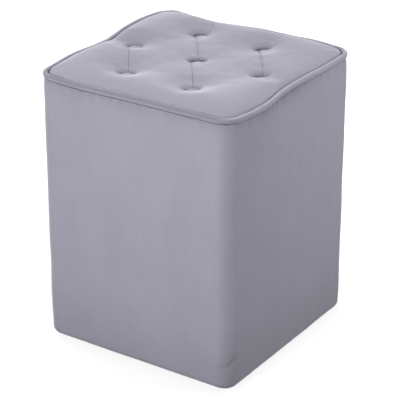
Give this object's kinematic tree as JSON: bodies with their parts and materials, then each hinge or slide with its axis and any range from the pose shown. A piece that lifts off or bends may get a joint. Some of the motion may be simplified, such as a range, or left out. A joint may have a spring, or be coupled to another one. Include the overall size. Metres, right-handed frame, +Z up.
{
  "type": "square ottoman",
  "caption": "Tall square ottoman in pale lavender velvet, with a button-tufted seat piped round its edge and plain padded sides, on low hidden glides.",
  "frame": {"origin": "on the floor, under the middle of the square body", "axes": "+Z up; -Y is the front, the wider of the two faces that the picture shows; +X is the right"},
  "size_m": [0.3508, 0.3508, 0.46],
  "materials": {
    "velvet": "short-pile velvet",
    "foam": "open-cell foam",
    "cord": "twisted cotton piping cord",
    "twine": "waxed upholstery twine",
    "nonwoven": "non-woven dust cover",
    "plywood": "raw plywood",
    "hardboard": "raw hardboard",
    "beech": "raw beech",
    "pine": "sawn pine",
    "nylon": "moulded nylon",
    "steel": "zinc-plated steel"
  },
  "bodies": {
    "root": {"bottom_rail_back": "pine", "bottom_rail_front": "pine", "bottom_rail_left": "pine", "bottom_rail_right": "pine", "brace_back_left": "pine", "brace_back_right": "pine", "brace_front_left": "pine", "brace_front_right": "pine", "brace_screws": "steel", "button_back_left": "velvet", "button_back_right": "velvet", "button_backs": "steel", "button_centre": "velvet", "button_front_left": "velvet", "button_front_right": "velvet", "button_middle_left": "velvet", "button_middle_right": "velvet", "button_twines": "twine", "button_washers": "steel", "deck_screws": "steel", "dust_cover": "nonwoven", "dust_cover_staples": "steel", "glide_back_left": "nylon", "glide_back_right": "nylon", "glide_front_left": "nylon", "glide_front_right": "nylon", "glide_screws": "steel", "hem_staples": "steel", "panel_back": "hardboard", "panel_front": "hardboard", "panel_left": "hardboard", "panel_pins": "steel", "panel_right": "hardboard", "post_back_left": "pine", "post_back_right": "pine", "post_front_left": "pine", "post_front_right": "pine", "rail_dowels": "beech", "seat_deck": "plywood", "seat_foam": "foam", "side_cover": "velvet", "side_foam": "foam", "top_cover": "velvet", "top_rail_back": "pine", "top_rail_front": "pine", "top_rail_left": "pine", "top_rail_right": "pine", "welt_cord": "cord", "welt_cover": "velvet"}
  },
  "joints": []
}
